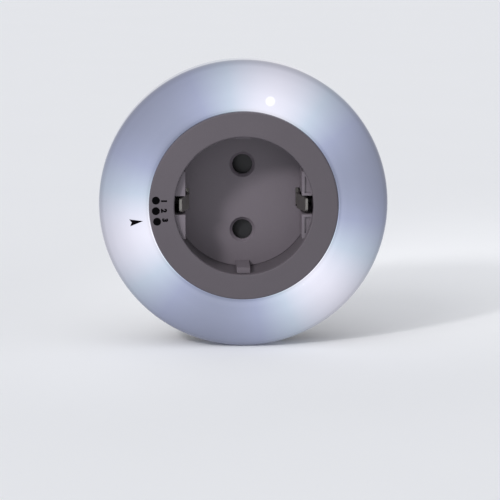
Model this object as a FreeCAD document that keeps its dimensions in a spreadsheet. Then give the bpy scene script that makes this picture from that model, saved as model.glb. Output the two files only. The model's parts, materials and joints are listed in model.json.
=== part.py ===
import FreeCAD, Part
import math
import os
import re
import Sketcher

# Plug in night light with a pass-through socket, in millimetres.
# The plug axis lies along Y. The rear face is at y = 0, the plug pins point to +Y and
# the lit diffuser faces -Y. A height is a distance in front of the rear face.
SIZES = {
    # Diffuser, the turning opal ring
    "back_taper": 4,
    "dome_rise": 0.3,
    "shoulder_drop": 5.7,
    "shoulder_round": 4,
    "skirt_height": 16,
    "diffuser_wall": 1.8,
    "lip_drop": 1.4,
    "lip_gap": 0.3,
    "lip_width": 1.9,
    "flange_thickness": 1.5,
    "flange_float": 0.4,
    "turning_clearance": 0.2,
    "turn_range": 14,
    # Front ring with its socket tube
    "ring_overhang": 1.2,
    "ring_thickness": 2,
    "ring_round": 0.5,
    "well_step": 0.55,
    "well_depth": 17.5,
    "tube_radius": 20.15,
    "tube_wall": 1.6,
    "collar_wall": 1.6,
    "boss_room": 2.25,
    "boss_radius": 2.6,
    # Socket insert
    "insert_clearance": 0.1,
    "insert_floor": 2,
    "skirt_wall": 1.5,
    "filler_depth": 3.65,
    "filler_rise": 6.9,
    "filler_slot": 5.4,
    "filler_recess": 0.6,
    "filler_margin": 0.75,
    "filler_end_margin": 1.5,
    "guide_width": 3.8,
    "guide_height": 1.6,
    "guide_drop": 3,
    "pin_hole_radius": 2.9,
    "hole_chamfer": 0.8,
    # Rear housing with the plug body
    "back_wall": 2,
    "seat_height": 0.8,
    "flange_width": 0.8,
    "ledge_width": 1.2,
    "back_round": 1.5,
    "bowl_inset": 0.5,
    "step_height": 15.7,
    "rim_clearance": 0.3,
    "rim_height": 18,
    "rim_wall": 1.2,
    "bowl_wall": 1.8,
    "plug_clearance": 1.45,
    "plug_length": 17,
    "plug_round": 1,
    "flat_depth": 2.5,
    "plug_notch_width": 5,
    "plug_notch_depth": 2.2,
    "plug_end_wall": 4,
    # Pins, contacts and earth
    "pin_spacing": 19,
    "pin_radius": 2.4,
    "pin_length": 19,
    "pin_root_radius": 1.95,
    "contact_wall": 0.8,
    "contact_base": 1.2,
    "contact_slit": 1,
    "chamber_clearance": 0.3,
    "fit_clearance": 0.05,
    "strap_thickness": 0.8,
    "strap_width": 4.8,
    "strap_reach": 16,
    "strap_ear": 7.5,
    "strap_bend": 0.9,
    "strap_gap": 0.2,
    "clip_thickness": 0.7,
    "clip_width": 4.2,
    "clip_gap": 0.3,
    "clip_root": 3.5,
    "clip_knee": 8,
    "clip_reach": 1.2,
    "clip_bulge_height": 15.7,
    "clip_lean": 1,
    "clip_tip_height": 23.4,
    "clip_bend": 2,
    "clip_knee_step": 0.385,
    "cut_margin": 1,
    # Shutter
    "cover_thickness": 1.2,
    "shutter_thickness": 2,
    "shutter_room": 2.4,
    "shutter_margin": 1.4,
    "shutter_end": 0.7,
    "shutter_clearance": 0.2,
    "window_margin": 0.2,
    "ramp_floor": 0.4,
    "rail_width": 1.2,
    "rail_gap": 0.8,
    "spring_wire": 0.25,
    "spring_radius": 0.75,
    "spring_turns": 5,
    "spring_seat_wall": 0.8,
    "spring_seat_width": 4.4,
    # Circuit board and what it carries
    "board_height": 5,
    "board_thickness": 1.6,
    "board_width": 7,
    "board_gap": 2.4,
    "board_clearance": 0.2,
    "post_radius": 2.5,
    "stake_radius": 1,
    "stake_height": 7.4,
    "stake_clearance": 0.15,
    "post_angle": 99,
    "led_angle": 75,
    "led_pitch": 12,
    "led_radius": 2.5,
    "led_height": 8.6,
    "led_flange": 0.4,
    "led_flange_height": 1,
    "led_crown": 0.83,
    "led_crown_step": 0.08,
    "led_crown_taper": 50,
    "switch_length": 12.8,
    "switch_width": 5.2,
    "switch_depth": 3.6,
    "switch_floor": 0.8,
    "knob_radius": 1,
    "knob_height": 19,
    "knob_foot": 3,
    "slide_clearance": 0.15,
    "fork_thickness": 1.2,
    "fork_length": 5,
    "fork_height": 17.4,
    "fork_clearance": 0.25,
    "fork_bite": 0.18,
    "film_length": 13,
    "film_width": 5,
    "film_depth": 11,
    "film_round": 0.5,
    "film_angle": 130,
    "can_radius": 3.15,
    "can_height": 11,
    "can_groove": 0.3,
    "can_groove_height": 1.8,
    "can_groove_half": 0.4,
    "can_bevel": 0.4,
    "can_angle": 155,
    "bridge_length": 6.5,
    "bridge_width": 6.2,
    "bridge_depth": 2.5,
    "bridge_round": 0.3,
    "bridge_angle": 240,
    "resistor_radius": 1.15,
    "resistor_length": 6.5,
    "resistor_lift": 0.2,
    "resistor_lead": 0.3,
    "resistor_angle": 10,
    "resistor_pitch": 18,
    "wire_radius": 0.7,
    "wire_bend": 1.5,
    "wire_gap": 0.2,
    "wire_landing": 0.3,
    "wire_lift": 0.05,
    # Housing screws
    "screw_radius": 1.3,
    "screw_hole_radius": 1.5,
    "screw_length": 11,
    "screw_head_radius": 2.5,
    "screw_head_height": 1.6,
    "screw_head_room": 0.3,
    "screw_recess": 0.9,
    "cross_arm": 1.5,
    "cross_half_width": 0.35,
    "screw_sink": 2.2,
}

# Sizes that follow from those above, so that the pieces keep together
DERIVED = {
    "land_height": "back_wall + strap_thickness + strap_gap + cover_thickness",
    "ring_height": "land_height + shutter_room + insert_floor + well_depth",
    "dome_height": "ring_height + dome_rise",
    "shoulder_height": "dome_height - shoulder_drop",
    "well_radius": "tube_radius - well_step",
    "collar_radius": "tube_radius + tube_wall + boss_room + collar_wall",
    "ring_radius": "collar_radius + ring_overhang",
    "crest_radius": "ring_radius + lip_gap + lip_width",
    "board_inner_radius": "collar_radius + board_gap",
    "board_outer_radius": "board_inner_radius + board_width",
    "part_circle": "board_inner_radius + board_width / 2",
    "back_radius": "board_outer_radius + board_clearance + bowl_wall",
    "outer_radius": "back_radius + back_taper",
    "bowl_radius": "outer_radius - bowl_inset",
    "plug_radius": "tube_radius - plug_clearance",
    "plug_flat": "plug_radius - flat_depth",
    "filler_face": "tube_radius - filler_depth",
    "filler_half_length": "filler_face - filler_rise",
    "clip_bulge": "filler_face - clip_reach",
    "clip_tip": "filler_face + clip_lean",
    "window_radius": "pin_hole_radius + window_margin",
    "shutter_travel": "pin_hole_radius + window_radius + shutter_clearance",
    "shutter_half_length": "pin_spacing / 2 + window_radius + shutter_end",
    "rail_top": "shutter_half_length + shutter_clearance + rail_width",
    "rail_half_length": "sqrt((tube_radius - insert_clearance - skirt_wall)^2 - rail_top^2) - rail_gap",
    "spring_seat": "plug_flat - strap_thickness - shutter_clearance - spring_seat_wall",
}

# Heights and radii that several pieces share, as formulas of the sizes above
RING_BACK = "(ring_height - ring_thickness)"
FLOOR_TOP = "(ring_height - well_depth)"
FLOOR_BACK = "(ring_height - well_depth - insert_floor)"
INSERT_RADIUS = "(tube_radius - insert_clearance)"
LEDGE_HEIGHT = "(land_height - cover_thickness)"
TUBE_OUTER = "(tube_radius + tube_wall)"
COLLAR_INNER = "(collar_radius - collar_wall)"
BOSS_CIRCLE = "((tube_radius + tube_wall + collar_radius - collar_wall) / 2)"
BOARD_TOP = "(board_height + board_thickness)"
CONTACT_RADIUS = "(pin_radius + contact_wall)"
FLANGE_TOP = "(ring_height - ring_thickness - flange_float)"
STRAP_HALF_WIDTH = "(strap_width / 2)"
KNOB_REST = "(part_circle * pi / 180 * turn_range / 2)"
WIRE_HEIGHT = "(land_height - cover_thickness - wire_gap - wire_radius)"
PLUG_FLANGE = "(plug_radius + flange_width)"

doc = FreeCAD.newDocument("night_light")
sheet = doc.addObject("Spreadsheet::Sheet", "Sizes")
CELLS = SIZES | {alias: f"={formula}" for alias, formula in DERIVED.items()}
for row, (alias, content) in enumerate(CELLS.items(), start=1):
    sheet.set(f"A{row}", alias)
    sheet.setAlias(f"B{row}", alias)
    sheet.set(f"B{row}", str(content))
doc.recompute()


def tied(formula):
    """Point each size that a formula names at its cell in the sheet."""
    def cell(match):
        word = match.group()
        return f"Sizes.{word}" if word in CELLS else word
    return re.sub(r"[a-z_]+", cell, formula)


def number(formula):
    return float(sheet.evalExpression(tied(formula)))


def new_body(label):
    body = doc.addObject("PartDesign::Body", label)
    body.Label = label
    return body


def origin_item(body, role):
    return next(item for item in body.Origin.OriginFeatures if item.Role == role)


def new_sketch(body, name, plane, offset):
    sketch = body.newObject("Sketcher::SketchObject", name)
    sketch.AttachmentSupport = (origin_item(body, plane), [""])
    sketch.MapMode = "FlatFace"
    sketch.setExpression(".AttachmentOffset.Base.z", tied(offset))
    return sketch


def front_sketch(body, name, height):
    """A sketch seen from the front: across is X, up is Z, at a height over the rear face."""
    return new_sketch(body, name, "XZ_Plane", height)


def side_sketch(body, name, offset="0"):
    """A sketch seen from +X: across is Y, up is Z."""
    return new_sketch(body, name, "YZ_Plane", offset)


def top_sketch(body, name, offset="0"):
    """A sketch seen from above: across is X, up is Y."""
    return new_sketch(body, name, "XY_Plane", offset)


def dimension(sketch, kind, formula, *where):
    """Add one constraint whose value follows a formula."""
    index = sketch.addConstraint(Sketcher.Constraint(kind, *where, number(formula)))
    sketch.setExpression(f"Constraints[{index}]", tied(formula))


def pin_point(sketch, piece, end, across, up):
    dimension(sketch, "DistanceX", across, -1, 1, piece, end)
    dimension(sketch, "DistanceY", up, -1, 1, piece, end)


def add_circle(sketch, across, up, radius):
    centre = FreeCAD.Vector(number(across), number(up), 0)
    normal = FreeCAD.Vector(0, 0, 1)
    piece = sketch.addGeometry(Part.Circle(centre, normal, number(radius)))
    dimension(sketch, "Radius", radius, piece)
    pin_point(sketch, piece, 3, across, up)


def arc_between(start, finish, radius, turn):
    """An arc from start to finish; turn is 1 when it runs anticlockwise, -1 clockwise."""
    chord = finish - start
    left = FreeCAD.Vector(-chord.y, chord.x, 0).normalize()
    reach = math.sqrt(radius ** 2 - chord.Length ** 2 / 4)
    centre = start + chord * 0.5 + left * reach * turn
    first, last = (start, finish) if turn > 0 else (finish, start)
    angles = [math.atan2(point.y - centre.y, point.x - centre.x) for point in (first, last)]
    return Part.ArcOfCircle(Part.Circle(centre, FreeCAD.Vector(0, 0, 1), radius), *angles)


def add_side(sketch, start, finish, corner):
    """Draw the side that arrives at a corner; give its number and its two end marks."""
    if len(corner) == 2:
        return sketch.addGeometry(Part.LineSegment(start, finish)), 1, 2
    radius, turn = corner[2:]
    piece = sketch.addGeometry(arc_between(start, finish, number(radius), turn))
    dimension(sketch, "Radius", radius, piece)
    return (piece, 1, 2) if turn > 0 else (piece, 2, 1)


def corner_points(corners):
    return [FreeCAD.Vector(number(corner[0]), number(corner[1]), 0) for corner in corners]


def add_outline(sketch, corners):
    """Close a loop through corners given as (across, up) or (across, up, radius, turn).

    The last two make the side that arrives at the corner an arc."""
    points = corner_points(corners)
    sides = []
    for index, corner in enumerate(corners):
        sides.append(add_side(sketch, points[index - 1], points[index], corner))
        pin_point(sketch, sides[-1][0], sides[-1][2], corner[0], corner[1])
    for before, after in zip(sides[-1:] + sides[:-1], sides):
        sketch.addConstraint(Sketcher.Constraint("Coincident", before[0], before[2], after[0], after[1]))


def add_path(sketch, corners):
    """Draw an open path through corners, in the same form as an outline."""
    points = corner_points(corners)
    before = None
    for index, corner in enumerate(corners[1:], start=1):
        side = add_side(sketch, points[index - 1], points[index], corner)
        if before is None:
            pin_point(sketch, side[0], side[1], corners[0][0], corners[0][1])
        else:
            joint = (before[0], before[2], side[0], side[1])
            sketch.addConstraint(Sketcher.Constraint("Coincident", *joint))
        pin_point(sketch, side[0], side[2], corner[0], corner[1])
        before = side


def add_rectangle(sketch, left, right, bottom, top):
    add_outline(sketch, [(left, bottom), (right, bottom), (right, top), (left, top)])


def section_corners(corners):
    """Turn (height, radius, ...) corners into the side sketch's (y, z, ...)."""
    return [(f"-({corner[0]})",) + tuple(corner[1:]) for corner in corners]


def turned(body, name, corners):
    """Turn a closed section given as (height, radius) corners about the plug axis."""
    sketch = side_sketch(body, f"{name}_section")
    add_outline(sketch, section_corners(corners))
    feature = body.newObject("PartDesign::Revolution", name)
    feature.Profile = sketch
    feature.ReferenceAxis = (sketch, ["H_Axis"])
    feature.Angle = 360
    return settled(body, feature)


def settled(body, feature):
    body.Tip = feature
    doc.recompute()
    return feature


def pad(body, sketch, length, both_ways=False):
    """Add material from the sketch forward, or half each way."""
    feature = body.newObject("PartDesign::Pad", f"{sketch.Label}_pad")
    feature.Profile = sketch
    feature.SideType = "Symmetric" if both_ways else "One side"
    feature.setExpression("Length", tied(length))
    return settled(body, feature)


def pocket(body, sketch, length, both_ways=False):
    """Cut from the sketch forward, or half each way, and make sure that it cuts."""
    before = body.Shape.Volume
    feature = body.newObject("PartDesign::Pocket", f"{sketch.Label}_pocket")
    feature.Profile = sketch
    feature.Reversed = True
    feature.SideType = "Symmetric" if both_ways else "One side"
    feature.setExpression("Length", tied(length))
    settled(body, feature)
    if body.Shape.Volume >= before:
        raise RuntimeError(f"{feature.Label} cuts nothing")
    return feature


def around(body, features):
    """Repeat features at three stations about the plug axis."""
    pattern = body.newObject("PartDesign::PolarPattern", f"{features[0].Label}_round")
    pattern.Originals = features
    pattern.Axis = (origin_item(body, "Y_Axis"), [""])
    pattern.Angle = 360
    pattern.Occurrences = 3
    return settled(body, pattern)


def mirrored(body, features, plane):
    """Repeat features on the other side of one of the body's own planes."""
    mirror = body.newObject("PartDesign::Mirrored", f"{features[0].Label}_mirror")
    mirror.Originals = features
    mirror.MirrorPlane = (origin_item(body, plane), [""])
    return settled(body, mirror)


def dress(body, kind, edges, formula):
    """Fillet or chamfer the named edges of what the body has so far."""
    if not edges:
        raise RuntimeError(f"{body.Label} has no edge to dress")
    base = body.Tip
    feature = body.newObject(kind, f"{base.Label}_dress")
    feature.Base = (base, edges)
    feature.setExpression("Radius" if kind.endswith("Fillet") else "Size", tied(formula))
    return settled(body, feature)


def round_edges(body, height, radius, count=1):
    """Name the circular edges of one radius that lie at one height."""
    names = []
    for index, edge in enumerate(body.Shape.Edges, start=1):
        curve = edge.Curve
        if not isinstance(curve, Part.Circle) or abs(curve.Radius - number(radius)) > 1e-4:
            continue
        if abs(-edge.CenterOfMass.y - number(height)) < 1e-4:
            names.append(f"Edge{index}")
    if len(names) < count:
        raise RuntimeError(f"{body.Label} has {len(names)} edges there")
    return names


def straight_edges(body, direction, test):
    """Name the straight edges along a direction whose middle passes a test."""
    names = []
    for index, edge in enumerate(body.Shape.Edges, start=1):
        if not isinstance(edge.Curve, Part.Line):
            continue
        along = edge.tangentAt(edge.FirstParameter)
        if abs(abs(along.dot(direction)) - 1) < 1e-6 and test(edge.CenterOfMass):
            names.append(f"Edge{index}")
    return names


def place(body, across, height, up, angle="0"):
    """Set a body at (across, height, up), turned about Y clockwise as seen from the front."""
    body.Placement.Rotation = FreeCAD.Rotation(FreeCAD.Vector(0, 1, 0), 1)
    body.setExpression(".Placement.Base.x", tied(across))
    body.setExpression(".Placement.Base.y", tied(f"-({height})"))
    body.setExpression(".Placement.Base.z", tied(up))
    body.setExpression(".Placement.Rotation.Angle", tied(angle))
    doc.recompute()


def place_on_board(body, angle):
    """Stand a body on the circuit board, with its own Z pointing away from the axis."""
    across = f"part_circle * cos({angle})"
    up = f"part_circle * sin({angle})"
    place(body, across, BOARD_TOP, up, f"90 - ({angle})")


def rear_housing():
    """The bowl behind the diffuser, open in the middle for the plug body."""
    body = new_body("rear_housing")
    rim_radius = "(outer_radius - diffuser_wall - rim_clearance)"
    turned(body, "bowl", [
        ("0", "plug_radius + fit_clearance"),
        ("0", "back_radius - back_round"),
        ("back_round", "back_radius", "back_round", 1),
        ("step_height", "bowl_radius"),
        ("step_height", rim_radius),
        ("rim_height", rim_radius),
        ("rim_height", f"{rim_radius} - rim_wall"),
        ("back_wall", "back_radius - bowl_wall"),
        ("back_wall", "collar_radius"),
        ("land_height", "collar_radius"),
        ("land_height", "tube_radius + insert_clearance"),
        (LEDGE_HEIGHT, "tube_radius + insert_clearance"),
        (LEDGE_HEIGHT, f"{PLUG_FLANGE} + fit_clearance"),
        ("seat_height", f"{PLUG_FLANGE} + fit_clearance"),
        ("seat_height", "plug_radius + fit_clearance"),
    ])
    cut_wire_grooves(body)
    cut_screw_seats(body)
    raise_board_posts(body)


def plug_body():
    """The round plug that enters the wall socket, held in the bowl by its flange."""
    body = new_body("plug_body")
    ledge_inner = f"({PLUG_FLANGE} - ledge_width)"
    turned(body, "plug", [
        ("-plug_length", "0"),
        ("-plug_length", "plug_radius - plug_round"),
        ("plug_round - plug_length", "plug_radius", "plug_round", 1),
        ("seat_height", "plug_radius"),
        ("seat_height", PLUG_FLANGE),
        (LEDGE_HEIGHT, PLUG_FLANGE),
        (LEDGE_HEIGHT, ledge_inner),
        ("back_wall", ledge_inner),
        ("back_wall", "0"),
    ])
    cut_flats(body)
    cut_contact_chambers(body)
    cut_wire_grooves(body)


def cut_flats(body):
    """Two flats for the earth contacts and two notches for the socket's guide ribs."""
    flat = front_sketch(body, "flat", "-plug_length")
    add_rectangle(flat, "plug_flat", "plug_radius + cut_margin", "-plug_radius", "plug_radius")
    mirrored(body, [pocket(body, flat, "plug_length")], "YZ_Plane")
    notch = front_sketch(body, "guide_notch", "-plug_length")
    inner = "plug_radius - plug_notch_depth"
    half = "(plug_notch_width / 2)"
    add_rectangle(notch, f"-{half}", half, inner, "plug_radius + cut_margin")
    mirrored(body, [pocket(body, notch, "plug_length")], "XY_Plane")
    channel = front_sketch(body, "earth_channel", "-strap_reach - fit_clearance")
    half = f"({STRAP_HALF_WIDTH} + fit_clearance)"
    depth = "plug_flat - strap_thickness - fit_clearance"
    add_rectangle(channel, depth, "plug_flat + fit_clearance", f"-{half}", half)
    length = "strap_reach + fit_clearance + back_wall"
    mirrored(body, [pocket(body, channel, length)], "YZ_Plane")


def cut_contact_chambers(body):
    """Chambers for the socket contacts and bores for the pin roots."""
    chamber = front_sketch(body, "chamber", "plug_end_wall - plug_length")
    add_circle(chamber, "0", "pin_spacing / 2", f"{CONTACT_RADIUS} + chamber_clearance")
    chamber_cut = pocket(body, chamber, "plug_length - plug_end_wall + back_wall")
    bore = front_sketch(body, "root_bore", "-plug_length")
    add_circle(bore, "0", "pin_spacing / 2", "pin_root_radius + fit_clearance")
    bore_cut = pocket(body, bore, "plug_end_wall")
    mirrored(body, [chamber_cut, bore_cut], "XY_Plane")


def cut_wire_grooves(body):
    """The way of each wire from its contact out to the circuit board."""
    groove = front_sketch(body, "wire_groove", f"{WIRE_HEIGHT} - wire_radius - wire_gap")
    half = "(wire_radius + wire_gap)"
    outer = "board_inner_radius - wire_gap"
    add_rectangle(groove, f"-{half}", half, "pin_spacing / 2 + pin_radius", outer)
    mirrored(body, [pocket(body, groove, "land_height")], "XY_Plane")


def cut_screw_seats(body):
    hole = front_sketch(body, "screw_hole", "screw_sink")
    add_circle(hole, BOSS_CIRCLE, "0", "screw_hole_radius")
    hole_cut = pocket(body, hole, "land_height - screw_sink")
    seat = front_sketch(body, "screw_seat", "0")
    add_circle(seat, BOSS_CIRCLE, "0", "screw_head_radius + screw_head_room")
    seat_cut = pocket(body, seat, "screw_sink")
    around(body, [hole_cut, seat_cut])


def raise_board_posts(body):
    across = "part_circle * cos(post_angle)"
    up = "part_circle * sin(post_angle)"
    post = front_sketch(body, "board_post", "back_wall")
    add_circle(post, across, up, "post_radius")
    post_pad = pad(body, post, "board_height - back_wall")
    stake = front_sketch(body, "board_stake", "board_height")
    add_circle(stake, across, up, "stake_radius")
    stake_pad = pad(body, stake, "stake_height - board_height")
    around(body, [post_pad, stake_pad])


def front_housing():
    """The flat ring round the socket mouth, with the socket tube and the diffuser's collar."""
    body = new_body("front_housing")
    turned(body, "ring", [
        ("ring_height", "well_radius"),
        ("ring_height", "ring_radius"),
        (RING_BACK, "ring_radius"),
        (RING_BACK, "collar_radius"),
        ("land_height", "collar_radius"),
        ("land_height", COLLAR_INNER),
        (RING_BACK, COLLAR_INNER),
        (RING_BACK, TUBE_OUTER),
        ("land_height", TUBE_OUTER),
        ("land_height", "tube_radius"),
        (RING_BACK, "tube_radius"),
        (RING_BACK, "well_radius"),
    ])
    boss = front_sketch(body, "screw_boss", "land_height")
    add_circle(boss, BOSS_CIRCLE, "0", "boss_radius")
    around(body, [pad(body, boss, f"{RING_BACK} - land_height")])
    core = front_sketch(body, "screw_core", "land_height")
    add_circle(core, BOSS_CIRCLE, "0", "screw_radius + fit_clearance")
    around(body, [pocket(body, core, "screw_length")])
    edges = round_edges(body, "ring_height", "ring_radius")
    edges += round_edges(body, "ring_height", "well_radius")
    dress(body, "PartDesign::Fillet", edges, "ring_round")


def socket_insert():
    """The well floor with its four filler columns, two guide ribs and the shutter's pocket."""
    body = new_body("socket_insert")
    turned(body, "cup", [
        ("land_height", f"{INSERT_RADIUS} - skirt_wall"),
        ("land_height", INSERT_RADIUS),
        (FLOOR_TOP, INSERT_RADIUS),
        (FLOOR_TOP, "0"),
        (FLOOR_BACK, "0"),
        (FLOOR_BACK, f"{INSERT_RADIUS} - skirt_wall"),
    ])
    raise_fillers(body)
    raise_guides(body)
    build_shutter_pocket(body)
    cut_insert_openings(body)


def filler_outline(sketch, face, start, finish, radius):
    """A quarter of the well's flat side: between a chord and the wall, above the clip slot."""
    add_outline(sketch, [
        (face, start),
        (f"sqrt({radius}^2 - ({start})^2)", start),
        (f"sqrt({radius}^2 - ({finish})^2)", finish, radius, 1),
        (face, finish),
    ])


def raise_fillers(body):
    top = f"({RING_BACK} - insert_clearance)"
    column = front_sketch(body, "filler", FLOOR_TOP)
    filler_outline(column, "filler_face", "filler_slot / 2", "filler_half_length", INSERT_RADIUS)
    column_pad = pad(body, column, f"{top} - {FLOOR_TOP}")
    recess = front_sketch(body, "filler_recess", f"{top} - filler_recess")
    start = "filler_slot / 2 + filler_margin"
    finish = "filler_half_length - filler_end_margin"
    radius = f"({INSERT_RADIUS} - filler_margin)"
    filler_outline(recess, "filler_face + filler_margin", start, finish, radius)
    recess_cut = pocket(body, recess, "filler_recess")
    mirrored(body, [column_pad, recess_cut], "XY_Plane")
    opposite_fillers(body, top)


def opposite_fillers(body, top):
    """The same columns on the other side of the well."""
    column = front_sketch(body, "opposite_filler", FLOOR_TOP)
    start = "filler_slot / 2"
    finish = "filler_half_length"
    add_outline(column, [
        ("-filler_face", start),
        ("-filler_face", finish),
        (f"-sqrt({INSERT_RADIUS}^2 - ({finish})^2)", finish),
        (f"-sqrt({INSERT_RADIUS}^2 - ({start})^2)", start, INSERT_RADIUS, 1),
    ])
    column_pad = pad(body, column, f"{top} - {FLOOR_TOP}")
    mirrored(body, [column_pad], "XY_Plane")


def raise_guides(body):
    """Two ribs that a plug's side notches run on."""
    half = "(guide_width / 2)"
    inner = f"({INSERT_RADIUS} - guide_height)"
    crown = f"sqrt({INSERT_RADIUS}^2 - {half}^2)"
    rib = front_sketch(body, "guide", FLOOR_TOP)
    add_outline(rib, [
        (f"-{half}", inner),
        (half, inner),
        (half, crown),
        (f"-{half}", crown, INSERT_RADIUS, 1),
    ])
    mirrored(body, [pad(body, rib, "well_depth - ring_thickness - guide_drop")], "XY_Plane")


def build_shutter_pocket(body):
    """Rails above and below the shutter, and the wall that its spring pushes on."""
    inner = "shutter_half_length + shutter_clearance"
    rail = front_sketch(body, "shutter_rail", "land_height")
    add_rectangle(rail, "-rail_half_length", "rail_half_length", inner, "rail_top")
    mirrored(body, [pad(body, rail, f"{FLOOR_BACK} - land_height")], "XY_Plane")
    seat = front_sketch(body, "spring_seat", "land_height")
    half = "(spring_seat_width / 2)"
    add_rectangle(seat, "spring_seat", "spring_seat + spring_seat_wall", f"-{half}", half)
    pad(body, seat, f"{FLOOR_BACK} - land_height")


def cut_insert_openings(body):
    """The earth clips' slots and the two pin holes with their lead-in."""
    slot = front_sketch(body, "clip_slot", "land_height")
    inner = "plug_flat - strap_thickness - fit_clearance"
    half = "(filler_slot / 2)"
    add_rectangle(slot, inner, "tube_radius", f"-{half}", half)
    mirrored(body, [pocket(body, slot, f"{FLOOR_TOP} - land_height")], "YZ_Plane")
    hole = front_sketch(body, "pin_hole", FLOOR_BACK)
    add_circle(hole, "0", "pin_spacing / 2", "pin_hole_radius")
    mirrored(body, [pocket(body, hole, "insert_floor")], "XY_Plane")
    edges = round_edges(body, FLOOR_TOP, "pin_hole_radius", 2)
    dress(body, "PartDesign::Chamfer", edges, "hole_chamfer")


def diffuser():
    """The opal dome, its trapped inner flange and the fork that moves the switch."""
    body = new_body("diffuser")
    across = "(outer_radius - shoulder_round - crest_radius)"
    rise = "(dome_height - shoulder_height)"
    bend = f"(({across}^2 + {rise}^2 - shoulder_round^2) / (2 * ({rise} - shoulder_round)))"
    share = f"({bend} / ({bend} - shoulder_round))"
    inner_share = f"(({bend} - diffuser_wall) / ({bend} - shoulder_round))"
    centre = f"(dome_height - {bend})"
    inner_lip = "(ring_radius + lip_gap)"
    lip_bend = "((lip_width^2 + lip_drop^2) / (2 * lip_drop))"
    flange_back = f"({FLANGE_TOP} - flange_thickness)"
    turned(body, "dome", [
        ("dome_height - lip_drop", inner_lip),
        ("dome_height", "crest_radius", lip_bend, -1),
        (f"{centre} + (shoulder_height - {centre}) * {share}",
         f"crest_radius + {across} * {share}", bend, -1),
        ("shoulder_height", "outer_radius", "shoulder_round", -1),
        ("skirt_height", "outer_radius"),
        ("skirt_height", "outer_radius - diffuser_wall"),
        ("shoulder_height", "outer_radius - diffuser_wall"),
        (f"{centre} + (shoulder_height - {centre}) * {inner_share}",
         f"crest_radius + {across} * {inner_share}", "shoulder_round - diffuser_wall", 1),
        ("dome_height - diffuser_wall", "crest_radius", f"{bend} - diffuser_wall", 1),
        (flange_back, "crest_radius"),
        (flange_back, "collar_radius + turning_clearance"),
        (FLANGE_TOP, "collar_radius + turning_clearance"),
        (FLANGE_TOP, inner_lip),
    ])
    add_switch_fork(body)


def add_switch_fork(body):
    """Two blades below the dome, one each side of the switch knob, at the resting angle."""
    near = "knob_radius + fork_clearance"
    far = f"{near} + fork_thickness"
    inner = "part_circle - fork_length / 2"
    outer = "part_circle + fork_length / 2"
    half_turn = "(turn_range / 2)"
    fork = front_sketch(body, "switch_fork", "fork_height")
    for side in ("-", ""):
        corners = [(f"{side}({near})", inner), (f"{side}({far})", inner),
                   (f"{side}({far})", outer), (f"{side}({near})", outer)]
        add_outline(fork, [swung_down(corner, half_turn) for corner in corners])
    pad(body, fork, "dome_height - diffuser_wall + fork_bite - fork_height")


def swung_down(corner, angle):
    """Carry a point from the top of the board circle to its foot, then on by an angle."""
    across, up = corner
    return (f"({up}) * sin({angle}) - ({across}) * cos({angle})",
            f"-({up}) * cos({angle}) - ({across}) * sin({angle})")


def circuit_board():
    body = new_body("circuit_board")
    board = front_sketch(body, "board", "board_height")
    add_circle(board, "0", "0", "board_outer_radius")
    add_circle(board, "0", "0", "board_inner_radius")
    pad(body, board, "board_thickness")
    hole = front_sketch(body, "stake_hole", "board_height")
    across = "part_circle * cos(post_angle)"
    up = "part_circle * sin(post_angle)"
    add_circle(hole, across, up, "stake_radius + stake_clearance")
    around(body, [pocket(body, hole, "board_thickness")])


def led_group(label, place_in_row):
    """Three equal lamps, one for each station round the board."""
    body = new_body(label)
    angle = f"(led_angle - {place_in_row} * led_pitch)"
    across = f"part_circle * cos({angle})"
    up = f"part_circle * sin({angle})"
    base = front_sketch(body, f"{label}_base", BOARD_TOP)
    add_circle(base, across, up, "led_radius + led_flange")
    base_pad = pad(body, base, "led_flange_height")
    lens = front_sketch(body, f"{label}_lens", f"{BOARD_TOP} + led_flange_height")
    add_circle(lens, across, up, "led_radius")
    lens_pad = pad(body, lens, "led_height - led_flange_height - led_crown")
    crown = front_sketch(body, f"{label}_crown", f"{BOARD_TOP} + led_height - led_crown")
    add_circle(crown, across, up, "led_radius - led_crown_step")
    crown_pad = pad(body, crown, "led_crown")
    crown_pad.setExpression("TaperAngle", tied("-led_crown_taper"))
    doc.recompute()
    around(body, [base_pad, lens_pad, crown_pad])


def slide_switch_body():
    """A three-position slide switch, hollow along the knob's path."""
    body = new_body("slide_switch_body")
    case = front_sketch(body, "switch_case", "0")
    long_half = "(switch_length / 2)"
    short_half = "(switch_width / 2)"
    add_rectangle(case, f"-{long_half}", long_half, f"-{short_half}", short_half)
    pad(body, case, "switch_depth")
    slot = front_sketch(body, "switch_slot", "switch_floor")
    reach = f"({KNOB_REST} + knob_foot / 2 + slide_clearance)"
    half = "(knob_radius + slide_clearance)"
    add_rectangle(slot, f"-{reach}", reach, f"-{half}", half)
    pocket(body, slot, "switch_depth - switch_floor")
    place_on_board(body, "270")


def slide_switch_knob():
    """The switch's moving contact carrier with its long round stem."""
    body = new_body("slide_switch_knob")
    foot = front_sketch(body, "knob_foot", "switch_floor + slide_clearance")
    half = "(knob_foot / 2)"
    add_rectangle(foot, f"-{half}", half, "-knob_radius", "knob_radius")
    pad(body, foot, "switch_depth - switch_floor - 2 * slide_clearance")
    stem = front_sketch(body, "knob_stem", "switch_depth - 2 * slide_clearance")
    add_circle(stem, "0", "0", "knob_radius")
    pad(body, stem, f"knob_height - {BOARD_TOP} - switch_depth + 2 * slide_clearance")
    place(body, KNOB_REST, BOARD_TOP, "-part_circle")


def block_on_board(label, piece):
    """A moulded block with softened upright edges, such as a film capacitor."""
    body = new_body(label)
    outline = front_sketch(body, f"{label}_outline", "0")
    across = f"({piece}_length / 2)"
    up = f"({piece}_width / 2)"
    add_rectangle(outline, f"-{across}", across, f"-{up}", up)
    pad(body, outline, f"{piece}_depth")
    edges = straight_edges(body, FreeCAD.Vector(0, 1, 0), lambda middle: True)
    dress(body, "PartDesign::Fillet", edges, f"{piece}_round")
    place_on_board(body, f"{piece}_angle")


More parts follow.
